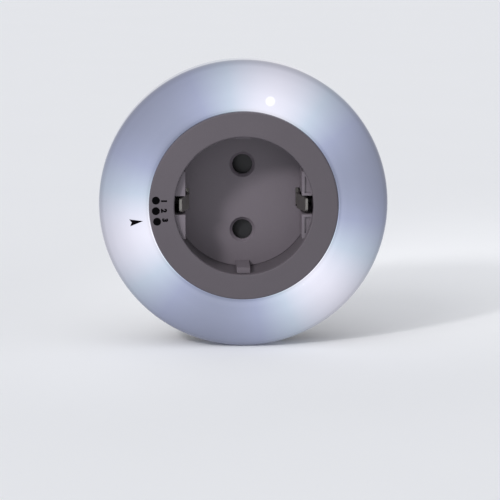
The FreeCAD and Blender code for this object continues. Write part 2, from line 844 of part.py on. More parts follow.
def electrolytic_capacitor():
    """A rolled can with a groove near its foot."""
    body = new_body("electrolytic_capacitor")
    turned(body, "can", [
        ("0", "0"),
        ("0", "can_radius"),
        ("can_groove_height - can_groove_half", "can_radius"),
        ("can_groove_height", "can_radius - can_groove"),
        ("can_groove_height + can_groove_half", "can_radius"),
        ("can_height - can_bevel", "can_radius"),
        ("can_height", "can_radius - can_bevel"),
        ("can_height", "0"),
    ])
    place_on_board(body, "can_angle")


def resistors():
    """Two axial resistors lying along the board's circle."""
    body = new_body("resistors")
    for index in range(2):
        resistor(body, index)


def resistor(body, index):
    """One resistor: its lead ends stand on the board and carry the body."""
    angle = f"(resistor_angle + {index} * resistor_pitch)"
    height = f"({BOARD_TOP} + resistor_lift + resistor_radius)"
    half = "(resistor_length / 2)"
    axis = front_sketch(body, f"resistor_{index}", f"{height} - resistor_radius")
    corners = [(f"-{half}", "part_circle - resistor_radius"),
               (half, "part_circle - resistor_radius"),
               (half, "part_circle + resistor_radius"),
               (f"-{half}", "part_circle + resistor_radius")]
    add_outline(axis, [swung_up(corner, angle) for corner in corners])
    pad(body, axis, "2 * resistor_radius")
    leads = front_sketch(body, f"resistor_leads_{index}", BOARD_TOP)
    for side in ("-", ""):
        spot = (f"{side}({half})", "part_circle")
        add_circle(leads, *swung_up(spot, angle), "resistor_lead")
    pad(body, leads, f"{height} - {BOARD_TOP}")


def swung_up(corner, angle):
    """Carry a point from the top of the board circle round to an angle."""
    across, up = corner
    return (f"({across}) * sin({angle}) + ({up}) * cos({angle})",
            f"({up}) * sin({angle}) - ({across}) * cos({angle})")


def plug_pin(label, side):
    """A round plug pin with a domed tip and a thinner root riveted to its contact."""
    body = new_body(label)
    tip = "(plug_length + pin_length)"
    turned(body, "pin", [
        (f"-{tip}", "0"),
        (f"pin_radius - {tip}", "pin_radius", "pin_radius", 1),
        ("-plug_length", "pin_radius"),
        ("-plug_length", "pin_root_radius"),
        ("plug_end_wall + contact_base - plug_length", "pin_root_radius"),
        ("plug_end_wall + contact_base - plug_length", "0"),
    ])
    place(body, "0", "0", f"{side} pin_spacing / 2")


def socket_contact(label, side):
    """A slit sleeve that grips an inserted pin, closed by a base on the pin's root."""
    body = new_body(label)
    base_back = "plug_end_wall - plug_length"
    base_front = "plug_end_wall + contact_base - plug_length"
    front = f"({LEDGE_HEIGHT} - 2 * wire_gap)"
    turned(body, "sleeve", [
        (base_back, "pin_root_radius + fit_clearance"),
        (base_back, CONTACT_RADIUS),
        (front, CONTACT_RADIUS),
        (front, "pin_radius + fit_clearance"),
        (base_front, "pin_radius + fit_clearance"),
        (base_front, "pin_root_radius + fit_clearance"),
    ])
    slit = front_sketch(body, "slit", f"{base_front} + contact_base")
    half = "(contact_slit / 2)"
    reach = f"({CONTACT_RADIUS} + cut_margin)"
    add_rectangle(slit, f"-{reach}", reach, f"-{half}", half)
    pocket(body, slit, "plug_length")
    place(body, "0", "0", f"{side} pin_spacing / 2")


def earth_strap():
    """One bent strip: a bar across the housing, two side contacts and two ears for the clips."""
    body = new_body("earth_strap")
    outer = "plug_flat"
    inner = "(plug_flat - strap_thickness)"
    bar_front = "(back_wall + strap_thickness)"
    strip = top_sketch(body, "strip")
    add_outline(strip, [
        (f"-{outer}", "strap_reach"),
        (f"-{outer}", "-strap_ear"),
        (f"-{inner}", "-strap_ear"),
        (f"-{inner}", f"-{bar_front}"),
        (inner, f"-{bar_front}"),
        (inner, "-strap_ear"),
        (outer, "-strap_ear"),
        (outer, "strap_reach"),
        (inner, "strap_reach"),
        (inner, "-back_wall"),
        (f"-{inner}", "-back_wall"),
        (f"-{inner}", "strap_reach"),
    ])
    pad(body, strip, "strap_width", both_ways=True)
    ends = straight_edges(body, FreeCAD.Vector(1, 0, 0), lambda middle: middle.y > number("plug_length / 2"))
    dress(body, "PartDesign::Fillet", ends, "strap_bend")


def earth_clip(label, side):
    """A sprung earth finger: straight root, inward bulge and a tip that leans outward."""
    body = new_body(label)
    root = "(plug_flat + clip_gap)"
    slim = "clip_thickness"
    corners = [
        (root, "-clip_root"),
        (root, "-clip_knee"),
        ("clip_bulge", "-clip_bulge_height"),
        ("clip_tip", "-clip_tip_height"),
        (f"clip_tip + {slim}", "-clip_tip_height"),
        (f"clip_bulge + {slim}", "-clip_bulge_height"),
        (f"{root} + {slim}", "-clip_knee - clip_knee_step"),
        (f"{root} + {slim}", "-clip_root"),
    ]
    finger = top_sketch(body, "finger")
    add_outline(finger, corners)
    pad(body, finger, "clip_width", both_ways=True)
    bulge = number("clip_bulge_height")
    bends = straight_edges(body, FreeCAD.Vector(0, 0, 1), lambda middle: abs(-middle.y - bulge) < 0.01)
    dress(body, "PartDesign::Fillet", bends, "clip_bend")
    tips = straight_edges(body, FreeCAD.Vector(1, 0, 0),
                          lambda middle: -middle.y > number("clip_tip_height") - 0.01)
    dress(body, "PartDesign::Fillet", tips, "strap_bend")
    place(body, "0", "0", "0", side)


def shutter():
    """A sliding plate that closes both pin holes, with a ramp under each and a window beside."""
    body = new_body("shutter")
    height = f"(land_height + ({FLOOR_BACK} - land_height - shutter_thickness) / 2)"
    left = "(-shutter_travel - window_radius - shutter_margin)"
    right = "(window_radius + shutter_margin)"
    plate = front_sketch(body, "plate", height)
    add_rectangle(plate, left, right, "-shutter_half_length", "shutter_half_length")
    pad(body, plate, "shutter_thickness")
    window = front_sketch(body, "window", height)
    add_circle(window, "-shutter_travel", "pin_spacing / 2", "window_radius")
    window_cut = pocket(body, window, "shutter_thickness")
    ramp = top_sketch(body, "ramp", "pin_spacing / 2")
    front = f"-{height} - shutter_thickness"
    add_outline(ramp, [
        ("window_radius", front),
        ("-window_radius", f"-{height} - ramp_floor"),
        ("-shutter_travel", f"-{height} - ramp_floor"),
        ("-shutter_travel", front),
    ])
    ramp_cut = pocket(body, ramp, "2 * window_radius", both_ways=True)
    mirrored(body, [window_cut, ramp_cut], "XY_Plane")


def shutter_spring():
    """The coil spring that pushes the shutter closed."""
    body = new_body("shutter_spring")
    start = "(window_radius + shutter_margin + shutter_clearance / 2 + spring_wire)"
    length = f"(spring_seat - {start} - shutter_clearance / 2 - spring_wire)"
    wire = top_sketch(body, "spring_wire")
    add_circle(wire, start, "spring_radius", "spring_wire")
    coil = body.newObject("PartDesign::AdditiveHelix", "coil")
    coil.Profile = wire
    coil.ReferenceAxis = (wire, ["H_Axis"])
    coil.Mode = "height-turns-angle"
    coil.setExpression("Height", tied(length))
    coil.setExpression("Turns", tied("spring_turns"))
    settled(body, coil)
    place(body, "0", f"(land_height + {FLOOR_BACK}) / 2", "0")


def shutter_cover():
    """The plate behind the shutter, with holes for the pins and slots for the earth strap."""
    body = new_body("shutter_cover")
    disc = front_sketch(body, "disc", LEDGE_HEIGHT)
    add_circle(disc, "0", "0", INSERT_RADIUS)
    pad(body, disc, "cover_thickness")
    hole = front_sketch(body, "cover_hole", LEDGE_HEIGHT)
    add_circle(hole, "0", "pin_spacing / 2", "pin_hole_radius")
    mirrored(body, [pocket(body, hole, "cover_thickness")], "XY_Plane")
    slot = front_sketch(body, "cover_slot", LEDGE_HEIGHT)
    half = "(filler_slot / 2)"
    add_rectangle(slot, "plug_flat - strap_thickness - fit_clearance", "tube_radius", f"-{half}", half)
    mirrored(body, [pocket(body, slot, "cover_thickness")], "YZ_Plane")


def wire(label, angle):
    """A stiff wire from a contact, through its groove, up past the board's edge onto the board."""
    body = new_body(label)
    start = f"(pin_spacing / 2 + {CONTACT_RADIUS} + fit_clearance)"
    rise = "((collar_radius + board_inner_radius) / 2)"
    top = f"({BOARD_TOP} + wire_radius + wire_lift)"
    path = side_sketch(body, f"{label}_path")
    add_path(path, section_corners([
        (WIRE_HEIGHT, start),
        (WIRE_HEIGHT, f"{rise} - wire_bend"),
        (f"{WIRE_HEIGHT} + wire_bend", rise, "wire_bend", 1),
        (f"{top} - wire_bend", rise),
        (top, f"{rise} + wire_bend", "wire_bend", -1),
        (top, f"{rise} + wire_bend + wire_landing"),
    ]))
    circle = top_sketch(body, f"{label}_section", start)
    add_circle(circle, "0", f"-{WIRE_HEIGHT}", "wire_radius")
    pipe = body.newObject("PartDesign::AdditivePipe", f"{label}_pipe")
    pipe.Profile = circle
    pipe.Spine = (path, [f"Edge{index}" for index in range(1, 6)])
    settled(body, pipe)
    place(body, "0", "0", "0", angle)


def housing_screws():
    """Three pan-head screws that draw the two housings together."""
    body = new_body("housing_screws")
    head_back = "(screw_sink - screw_head_height)"
    head = front_sketch(body, "screw_head", head_back)
    add_circle(head, BOSS_CIRCLE, "0", "screw_head_radius")
    head_pad = pad(body, head, "screw_head_height")
    shank = front_sketch(body, "screw_shank", "screw_sink")
    add_circle(shank, BOSS_CIRCLE, "0", "screw_radius")
    shank_pad = pad(body, shank, "screw_length")
    recess = front_sketch(body, "screw_recess", head_back)
    cross = cross_corners("cross_arm", "cross_half_width")
    add_outline(recess, [(f"{BOSS_CIRCLE} + {across}", up) for across, up in cross])
    recess_cut = pocket(body, recess, "screw_recess")
    around(body, [head_pad, shank_pad, recess_cut])


def cross_corners(arm, thin):
    """The twelve corners of a cross, anticlockwise from its lower right arm."""
    return [(arm, f"-{thin}"), (arm, thin), (thin, thin), (thin, arm),
            (f"-{thin}", arm), (f"-{thin}", thin), (f"-{arm}", thin), (f"-{arm}", f"-{thin}"),
            (f"-{thin}", f"-{thin}"), (f"-{thin}", f"-{arm}"), (thin, f"-{arm}"), (thin, f"-{thin}")]


def check_document():
    """Stop if any object failed or any piece has no valid shape."""
    failed = [item.Label for item in doc.Objects if {"Invalid", "Error"} & set(item.State)]
    for body in sub_parts():
        if body.Shape.isNull() or not body.Shape.isValid() or not body.Shape.Solids:
            failed.append(body.Label)
    if failed:
        raise RuntimeError(f"these failed: {failed}")


def sub_parts():
    return [item for item in doc.Objects if item.TypeId == "PartDesign::Body"]


def export():
    os.makedirs("parts", exist_ok=True)
    for body in sub_parts():
        body.Shape.exportStep(f"parts/{body.Label}.step")
        print(body.Label, len(body.Shape.Solids), round(body.Shape.Volume, 2))


rear_housing()
plug_body()
front_housing()
socket_insert()
diffuser()
circuit_board()
led_group("white_leds", 0)
led_group("blue_leds", 1)
led_group("green_leds", 2)
slide_switch_body()
slide_switch_knob()
block_on_board("film_capacitor", "film")
block_on_board("bridge_rectifier", "bridge")
electrolytic_capacitor()
resistors()
plug_pin("plug_pin_upper", "")
plug_pin("plug_pin_lower", "-")
socket_contact("socket_contact_upper", "")
socket_contact("socket_contact_lower", "-")
earth_strap()
earth_clip("earth_clip_right", "0")
earth_clip("earth_clip_left", "180")
shutter()
shutter_spring()
shutter_cover()
wire("live_wire", "0")
wire("neutral_wire", "180")
housing_screws()
doc.recompute()
check_document()
export()
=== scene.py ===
import json
from math import cos, pi, radians, sin

import bmesh
import bpy
from bpy.props import FloatProperty, FloatVectorProperty, PointerProperty
from mathutils import Matrix, Vector
from mathutils.bvhtree import BVHTree

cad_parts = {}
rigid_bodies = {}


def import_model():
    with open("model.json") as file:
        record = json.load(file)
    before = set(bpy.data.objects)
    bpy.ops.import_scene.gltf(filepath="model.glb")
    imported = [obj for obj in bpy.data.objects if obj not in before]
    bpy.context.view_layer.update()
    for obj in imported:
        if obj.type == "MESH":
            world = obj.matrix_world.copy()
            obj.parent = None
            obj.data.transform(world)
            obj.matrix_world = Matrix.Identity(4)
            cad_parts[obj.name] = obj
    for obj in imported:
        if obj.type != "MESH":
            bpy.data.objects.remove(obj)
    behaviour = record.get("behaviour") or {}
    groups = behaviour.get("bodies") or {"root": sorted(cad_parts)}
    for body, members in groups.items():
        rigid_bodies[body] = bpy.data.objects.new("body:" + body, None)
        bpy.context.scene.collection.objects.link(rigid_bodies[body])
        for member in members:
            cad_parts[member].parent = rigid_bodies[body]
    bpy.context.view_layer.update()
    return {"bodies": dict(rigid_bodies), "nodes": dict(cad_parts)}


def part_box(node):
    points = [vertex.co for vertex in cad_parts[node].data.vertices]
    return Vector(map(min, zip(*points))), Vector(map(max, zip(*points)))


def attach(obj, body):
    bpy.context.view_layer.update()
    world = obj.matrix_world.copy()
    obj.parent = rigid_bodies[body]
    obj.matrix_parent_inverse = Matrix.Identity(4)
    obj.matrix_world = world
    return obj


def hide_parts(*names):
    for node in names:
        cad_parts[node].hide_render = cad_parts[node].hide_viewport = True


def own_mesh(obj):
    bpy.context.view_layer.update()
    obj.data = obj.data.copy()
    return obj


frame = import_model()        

bl_info = {
    "name": "Plug In Night Light",
    "version": (1, 0, 0),
    "blender": (4, 5, 0),
    "location": "3D View > Sidebar > Night Light",
    "description": "Finishes, prints, lamps and camera for a night light with a pass-through socket",
    "category": "Object",
}

HOUSING = frame["bodies"]["housing"]
MM = 0.001
RING_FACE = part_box("front_housing")[0].y
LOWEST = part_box("diffuser")[0].z
OUTER_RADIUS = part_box("diffuser")[1].x
CREST_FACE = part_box("diffuser")[0].y

# Shutter spring
SPRING_WIRE = 0.25 * MM
SPRING_TURNS = 6
CLOSED_TURNS = 0.8
CLOSED_PITCH = 0.1
COIL_STEPS = 28
WIRE_SIDES = 10

# Print
DOT_SIDES = 48
FIGURE_WEIGHT = 0.07
FIGURE_CURVE_STEPS = 6
ARROW_STEPS = 12

# Lamp heights on the board, from foot to crown
LED_FOOT = -6.6 * MM
LED_CROWN = -15.2 * MM
TRACK_PITCH = 3.5 * MM

# Stage
FLOOR_REACH = 4.0
SKY_COLOUR = (0.95, 0.97, 1.0, 1.0)
KEY_PLACE = (-0.5, -0.62, 0.6)
KEY_WIDTH = radians(30)
SIDE_PLACE = (-0.3, -0.42, 0.3)
SIDE_TARGET = (-0.018, -0.026, 0.018)
SIDE_SPREAD = radians(14)
SIDE_RADIUS = 0.05
SENSOR_WIDTH = 36.0


def srgb(red, green, blue):
    """Turn a screen colour of 0 to 255 into the linear colour that a socket takes."""
    def linear(level):
        level /= 255
        return level / 12.92 if level <= 0.04045 else ((level + 0.055) / 1.055) ** 2.4
    return (linear(red), linear(green), linear(blue), 1.0)


def colour_setting(name, description, red, green, blue):
    return FloatVectorProperty(
        name=name, description=description, subtype="COLOR", size=4,
        min=0.0, max=1.0, default=srgb(red, green, blue))


def length_setting(name, description, millimetres):
    return FloatProperty(
        name=name, description=description, subtype="DISTANCE", unit="LENGTH",
        precision=5, default=millimetres * MM)


def angle_setting(name, description, degrees):
    return FloatProperty(
        name=name, description=description, subtype="ANGLE", unit="ROTATION",
        default=radians(degrees))


class PrintSettings(bpy.types.PropertyGroup):
    """The dots and numbers on the flat ring and the arrow on the diffuser"""

    dot_diameter: length_setting("Dot diameter", "Width of each printed dot", 2.25)
    dot_circle: length_setting("Dot circle", "Distance of the dots from the plug axis", 24.85)
    first_angle: angle_setting("First dot", "Angle of the top dot, from +X towards +Z", 175.9)
    dot_pitch: angle_setting("Dot pitch", "Angle from one switch position to the next", 6.95)
    number_circle: length_setting("Number circle", "Distance of the numbers from the axis", 22.55)
    number_height: length_setting("Number height", "Height of the printed figures", 1.7)
    arrow_angle: angle_setting("Arrow angle", "Angle of the arrow, from +X towards +Z", 188.0)
    arrow_tip: length_setting("Arrow tip", "Distance of the arrow's tip from the axis", 28.7)
    arrow_length: length_setting("Arrow length", "Length from the tip to the barbs", 3.8)
    arrow_width: length_setting("Arrow width", "Width across the barbs", 2.0)
    arrow_notch: length_setting("Arrow notch", "Depth of the notch between the barbs", 0.55)
    ink_height: length_setting("Ink height", "How far the ink stands off the plastic", 0.02)


class FinishSettings(bpy.types.PropertyGroup):
    """Colours of the plastics and metals"""

    housing: colour_setting("Housing", "Grey moulded plastic", 86, 80, 86)
    opal: colour_setting("Opal", "Unlit colour of the diffuser", 80, 82, 98)
    black_plastic: colour_setting("Black plastic", "Shutter, cover and switch", 38, 38, 40)
    nickel: colour_setting("Nickel", "Pins, earth strap and earth clips", 176, 173, 168)
    brass: colour_setting("Brass", "Socket contacts", 196, 162, 98)
    ink: colour_setting("Ink", "Printed dots, figures and arrow", 3, 3, 4)
    floor: colour_setting("Floor", "Floor and background", 244, 244, 246)


class StageSettings(bpy.types.PropertyGroup):
    """Camera and lamps"""

    azimuth: angle_setting("Azimuth", "Camera angle round the object, towards +X", -1.6)
    elevation: angle_setting("Elevation", "Camera angle above the horizon", 10.0)
    distance: length_setting("Distance", "Camera distance from the aim point", 743)
    lens: FloatProperty(
        name="Lens", description="Focal length on a 36 mm sensor", default=189.2, subtype="DISTANCE_CAMERA")
    aim_across: length_setting("Aim across", "Aim point along X, from the plug axis", 1.72)
    aim_up: length_setting("Aim up", "Aim point along Z, from the plug axis", -12.47)
    sky_power: FloatProperty(
        name="Sky power", description="Strength of the light from all round", default=0.78)
    key_power: FloatProperty(
        name="Key power", description="Strength of the broad key light", default=0.6)
    side_power: FloatProperty(
        name="Side power", description="Power of the lamp at the upper left", default=9.0, unit="POWER")


class Recipe:
    """One material and its nodes; the shader is a Principled BSDF."""

    def __init__(self, name):
        self.material = bpy.data.materials.new(name)
        self.material.use_nodes = True
        self.tree = self.material.node_tree
        self.tree.nodes.clear()
        self.shader = self.add("ShaderNodeBsdfPrincipled")
        output = self.add("ShaderNodeOutputMaterial")
        self.link(self.shader.outputs["BSDF"], output.inputs["Surface"])
        self.place = self.add("ShaderNodeTexCoord").outputs["Object"]

    def add(self, kind, **settings):
        node = self.tree.nodes.new(kind)
        for key, value in settings.items():
            setattr(node, key, value)
        return node

    def link(self, source, target):
        self.tree.links.new(source, target)

    def set(self, **values):
        """Set the shader's own sockets: base_color sets Base Color."""
        for key, value in values.items():
            self.shader.inputs[key.replace("_", " ").title().replace("Ior", "IOR")].default_value = value

    def feed(self, socket, source):
        self.link(source, self.shader.inputs[socket])

    def math(self, operation, first, second=None):
        node = self.add("ShaderNodeMath", operation=operation)
        for index, value in enumerate((first, second)):
            if isinstance(value, (int, float)):
                node.inputs[index].default_value = value
            elif value is not None:
                self.link(value, node.inputs[index])
        return node.outputs[0]

    def stretched(self, x=1.0, y=1.0, z=1.0):
        """Object coordinates scaled along each axis."""
        node = self.add("ShaderNodeMapping")
        node.inputs["Scale"].default_value = (x, y, z)
        self.link(self.place, node.inputs["Vector"])
        return node.outputs["Vector"]

    def noise(self, grain, detail=3.0, place=None):
        """Noise whose patches are about grain millimetres wide."""
        node = self.add("ShaderNodeTexNoise")
        node.inputs["Scale"].default_value = 1 / (grain * MM)
        node.inputs["Detail"].default_value = detail
        self.link(place or self.place, node.inputs["Vector"])
        return node.outputs["Fac"]

    def ramp(self, source, stops, interpolation="LINEAR"):
        node = self.add("ShaderNodeValToRGB")
        node.color_ramp.interpolation = interpolation
        points = node.color_ramp.elements
        while len(points) < len(stops):
            points.new(0.5)
        for point, (position, colour) in zip(points, stops):
            point.position = position
            point.color = colour
        self.link(source, node.inputs["Fac"])
        return node.outputs["Color"]

    def mixed(self, factor, first, second, blend="MIX"):
        node = self.add("ShaderNodeMix", data_type="RGBA", blend_type=blend)
        for socket, value in (("Factor", factor), ("A", first), ("B", second)):
            target = [item for item in node.inputs if item.name == socket and item.enabled][0]
            if isinstance(value, bpy.types.NodeSocket):
                self.link(value, target)
            else:
                target.default_value = value
        return [item for item in node.outputs if item.enabled][0]

    def ranged(self, source, low, high):
        """Spread a factor of 0 to 1 over low to high."""
        node = self.add("ShaderNodeMapRange")
        node.inputs["To Min"].default_value = low
        node.inputs["To Max"].default_value = high
        self.link(source, node.inputs["Value"])
        return node.outputs["Result"]

    def spread(self, source, start, end):
        """Turn the stretch from start to end into a factor of 0 to 1."""
        node = self.add("ShaderNodeMapRange")
        node.inputs["From Min"].default_value = start
        node.inputs["From Max"].default_value = end
        self.link(source, node.inputs["Value"])
        return node.outputs["Result"]

    def length(self, across, up):
        """Length of the way with these two legs."""
        square = self.math("ADD", self.math("MULTIPLY", across, across), self.math("MULTIPLY", up, up))
        return self.math("SQRT", square)

    def relief(self, height, depth, strength=1.0):
        """Bump the surface by a height field that is depth millimetres tall."""
        node = self.add("ShaderNodeBump")
        node.inputs["Distance"].default_value = depth * MM
        node.inputs["Strength"].default_value = strength
        self.link(height, node.inputs["Height"])
        self.feed("Normal", node.outputs["Normal"])


def shade(colour, share):
    """The same colour, lighter or darker."""
    return tuple(min(1.0, level * share) for level in colour[:3]) + (1.0,)


def moulded_plastic(name, colour, roughness=0.42, grain=0.35, depth=0.012):
    """Moulded plastic with a fine spark-eroded grain and faint cloudy flow marks."""
    recipe = Recipe(name)
    clouds = recipe.noise(14.0, 4.0)
    fine = recipe.noise(grain, 2.0)
    tone = recipe.mixed(recipe.ranged(clouds, 0.0, 1.0), shade(colour, 0.92), shade(colour, 1.08))
    speck = recipe.ranged(fine, 0.0, 0.16)
    recipe.feed("Base Color", recipe.mixed(speck, tone, shade(colour, 0.6)))
    recipe.feed("Roughness", recipe.ranged(clouds, roughness - 0.07, roughness + 0.07))
    recipe.relief(fine, depth)
    recipe.set(specular_ior_level=0.45)
    return recipe.material


def plated_metal(name, colour, roughness=0.28, along="z"):
    """Plated metal with drawn lines along one axis and a little dulling in patches."""
    recipe = Recipe(name)
    stretch = {axis: 1.0 for axis in "xyz"}
    stretch[along] = 0.06
    lines = recipe.noise(0.12, 2.0, recipe.stretched(**stretch))
    patches = recipe.noise(3.0, 4.0)
    dulled = recipe.mixed(recipe.ranged(patches, 0.0, 0.55), colour, shade(colour, 0.62))
    recipe.feed("Base Color", dulled)
    recipe.feed("Roughness", recipe.ranged(patches, roughness - 0.06, roughness + 0.16))
    recipe.relief(lines, 0.006)
    recipe.set(metallic=1.0)
    return recipe.material


LOBE_STOPS = (
    (0.0, srgb(219, 218, 228)),
    (0.3, srgb(178, 190, 203)),
    (0.7, srgb(140, 147, 171)),
    (1.0, srgb(122, 128, 147)),
)
FADE_STOPS = ((0.0, 1.08), (0.3, 1.0), (0.7, 0.78), (0.88, 0.64), (1.0, 0.3))
LAMP_STATIONS = 3
FIRST_STATION = radians(75)
INNER_GLOW_RADIUS = 28 * MM
# Painted highlight: an over-white round spot painted into the glow over the top lamp station (across and up
# in mm), with its core and edge radii in mm and its colour.
PAINTED_HIGHLIGHT = (7.4, 29.8)
PAINTED_HIGHLIGHT_CORE = 0.2
PAINTED_HIGHLIGHT_EDGE = 1.55
PAINTED_HIGHLIGHT_COLOUR = (1.3, 1.3, 1.3, 1.0)


def lit_opal(name, colour):
    """Glossy opal plastic, lit from inside by three lamp stations fixed to the housing, with a painted
    highlight over the top station.
    """
    recipe = Recipe(name)
    fixed = recipe.add("ShaderNodeTexCoord", object=HOUSING).outputs["Object"]
    parts = recipe.add("ShaderNodeSeparateXYZ")
    recipe.link(fixed, parts.inputs["Vector"])
    across, up = parts.outputs["X"], parts.outputs["Z"]
    angle = recipe.math("ARCTAN2", up, across)
    swing = recipe.math("MULTIPLY", recipe.math("SUBTRACT", angle, FIRST_STATION), LAMP_STATIONS)
    lobe = recipe.math("MULTIPLY", recipe.math("SUBTRACT", 1.0, recipe.math("COSINE", swing)), 0.5)
    outward = recipe.spread(recipe.length(across, up), INNER_GLOW_RADIUS, OUTER_RADIUS)
    glow = recipe.ramp(lobe, LOBE_STOPS)
    fade = recipe.ramp(outward, [(at, (level, level, level, 1)) for at, level in FADE_STOPS])
    cloudy = recipe.ranged(recipe.noise(9.0, 3.0), 0.96, 1.04)
    lit = recipe.mixed(1.0, recipe.mixed(1.0, glow, fade, "MULTIPLY"), cloudy, "MULTIPLY")
    # Painted highlight: a small over-white round spot is mixed into the emission at one place over the top
    # station.
    aside = recipe.math("SUBTRACT", across, PAINTED_HIGHLIGHT[0] * MM)
    above = recipe.math("SUBTRACT", up, PAINTED_HIGHLIGHT[1] * MM)
    near = recipe.spread(recipe.length(aside, above), PAINTED_HIGHLIGHT_EDGE * MM, PAINTED_HIGHLIGHT_CORE * MM)
    recipe.feed("Emission Color", recipe.mixed(near, lit, PAINTED_HIGHLIGHT_COLOUR))
    recipe.feed("Base Color", recipe.mixed(recipe.noise(5.0, 3.0), shade(colour, 0.96), shade(colour, 1.04)))
    recipe.feed("Roughness", recipe.ranged(recipe.noise(6.0, 4.0), 0.07, 0.13))
    recipe.relief(recipe.noise(2.5, 2.0), 0.006)
    recipe.set(emission_strength=1.0, specular_ior_level=0.45)
    return recipe.material


def lamp_epoxy(name, colour, glow):
    """Tinted clear epoxy of a lit lamp, brighter towards its crown."""
    recipe = Recipe(name)
    height = recipe.add("ShaderNodeSeparateXYZ")
    recipe.link(recipe.place, height.inputs["Vector"])
    rise = recipe.spread(height.outputs["Y"], LED_FOOT, LED_CROWN)
    tint = recipe.ramp(rise, [(0.0, shade(colour, 0.5)), (1.0, colour)])
    recipe.feed("Base Color", tint)
    recipe.feed("Emission Color", tint)
    recipe.feed("Roughness", recipe.ranged(recipe.noise(1.5), 0.05, 0.14))
    recipe.set(emission_strength=glow, ior=1.52)
    return recipe.material


def board_laminate(name):
    """Green solder mask with faint copper tracks below it."""
    recipe = Recipe(name)
    weave = recipe.noise(0.5, 3.0)
    cells = recipe.add("ShaderNodeTexVoronoi", feature="DISTANCE_TO_EDGE")
    cells.inputs["Scale"].default_value = 1 / TRACK_PITCH
    recipe.link(recipe.place, cells.inputs["Vector"])
    track = recipe.ramp(cells.outputs["Distance"], [(0.05, (1, 1, 1, 1)), (0.09, (0, 0, 0, 1))])
    mask = recipe.mixed(recipe.ranged(weave, 0.0, 0.4), srgb(38, 92, 58), srgb(28, 70, 44))
    recipe.feed("Base Color", recipe.mixed(track, mask, srgb(74, 128, 84)))
    recipe.feed("Roughness", recipe.ranged(weave, 0.25, 0.4))
    recipe.relief(track, 0.03)
    return recipe.material


def banded_resistor(name):
    """Beige lacquer with faint rings of colour."""
    recipe = Recipe(name)
    wave = recipe.add("ShaderNodeTexWave", wave_type="BANDS", bands_direction="Z")
    wave.inputs["Scale"].default_value = 260.0
    wave.inputs["Distortion"].default_value = 0.4
    recipe.link(recipe.place, wave.inputs["Vector"])
    lacquer, band = srgb(196, 172, 132), srgb(120, 62, 30)
    rings = recipe.ramp(wave.outputs["Fac"], [(0.72, lacquer), (0.78, band)], "CONSTANT")
    recipe.feed("Base Color", rings)
    recipe.feed("Roughness", recipe.ranged(recipe.noise(1.0), 0.3, 0.45))
    return recipe.material


def printed_ink(name, colour):
    """Black pad-print ink, a little thin in places."""
    recipe = Recipe(name)
    thin = recipe.noise(0.25, 3.0)
    recipe.feed("Base Color", recipe.mixed(recipe.ranged(thin, 0.0, 0.5), colour, shade(colour, 2.2)))
    recipe.feed("Roughness", recipe.ranged(thin, 0.4, 0.62))
    recipe.relief(thin, 0.004)
    recipe.set(specular_ior_level=0.03)
    return recipe.material


def floor_paint(name, colour):
    """A plain pale floor that shows as bright as the background."""
    recipe = Recipe(name)
    recipe.feed("Base Color", recipe.mixed(recipe.noise(60.0), shade(colour, 0.985), colour))
    recipe.set(roughness=0.9, specular_ior_level=0.1)
    return recipe.material


def dress(names, material):
    """Give CAD pieces a finish in each of their material slots."""
    for name in names:
        slots = frame["nodes"][name].material_slots
        for slot in slots:
            slot.material = material
        if not slots:
            frame["nodes"][name].data.materials.append(material)


def piece_from(builder, name, body, material):
    """Turn a bmesh into a shown piece that rides on a CAD body."""
    mesh = bpy.data.meshes.new(name)
    bmesh.ops.recalc_face_normals(builder, faces=builder.faces)
    builder.to_mesh(mesh)
    builder.free()
    piece = bpy.data.objects.new(name, mesh)
    bpy.context.scene.collection.objects.link(piece)
    mesh.materials.append(material)
    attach(piece, body)
    return piece


def thickened(builder, depth):
    """Give flat faces a thickness towards the front."""
    grown = bmesh.ops.extrude_face_region(builder, geom=builder.faces[:])
    raised = [item for item in grown["geom"] if isinstance(item, bmesh.types.BMVert)]
    bmesh.ops.translate(builder, verts=raised, vec=(0, -depth, 0))


class NIGHTLIGHT_OT_diffuser(bpy.types.Operator):
    """Finish the turning opal diffuser"""

    bl_idname = "nightlight.diffuser"
    bl_label = "Opal diffuser"

    def execute(self, context):
        finish = context.scene.night_light_finish
        dress(["diffuser"], lit_opal("opal_plastic", tuple(finish.opal)))
        return {"FINISHED"}


class NIGHTLIGHT_OT_housing(bpy.types.Operator):
    """Finish the grey ring, the socket insert and the rear housing"""

    bl_idname = "nightlight.housing"
    bl_label = "Grey mouldings"

    def execute(self, context):
        finish = context.scene.night_light_finish
        dress(["front_housing"], moulded_plastic("ring_plastic", tuple(finish.housing), 0.38))
        # The insert grey is the ring's grey made 1.7 times lighter: partly its own lighter plastic, partly
        # painted light for the brighter faces of its columns.
        dress(["socket_insert"], moulded_plastic("insert_plastic_partly_painted_light", shade(finish.housing, 1.7), 0.46))
        dress(["rear_housing", "plug_body"],
              moulded_plastic("rear_plastic", tuple(finish.housing), 0.44, grain=0.5, depth=0.02))
        black = moulded_plastic("shutter_plastic", tuple(finish.black_plastic), 0.5)
        dress(["shutter", "shutter_cover", "slide_switch_body", "slide_switch_knob"], black)
        return {"FINISHED"}


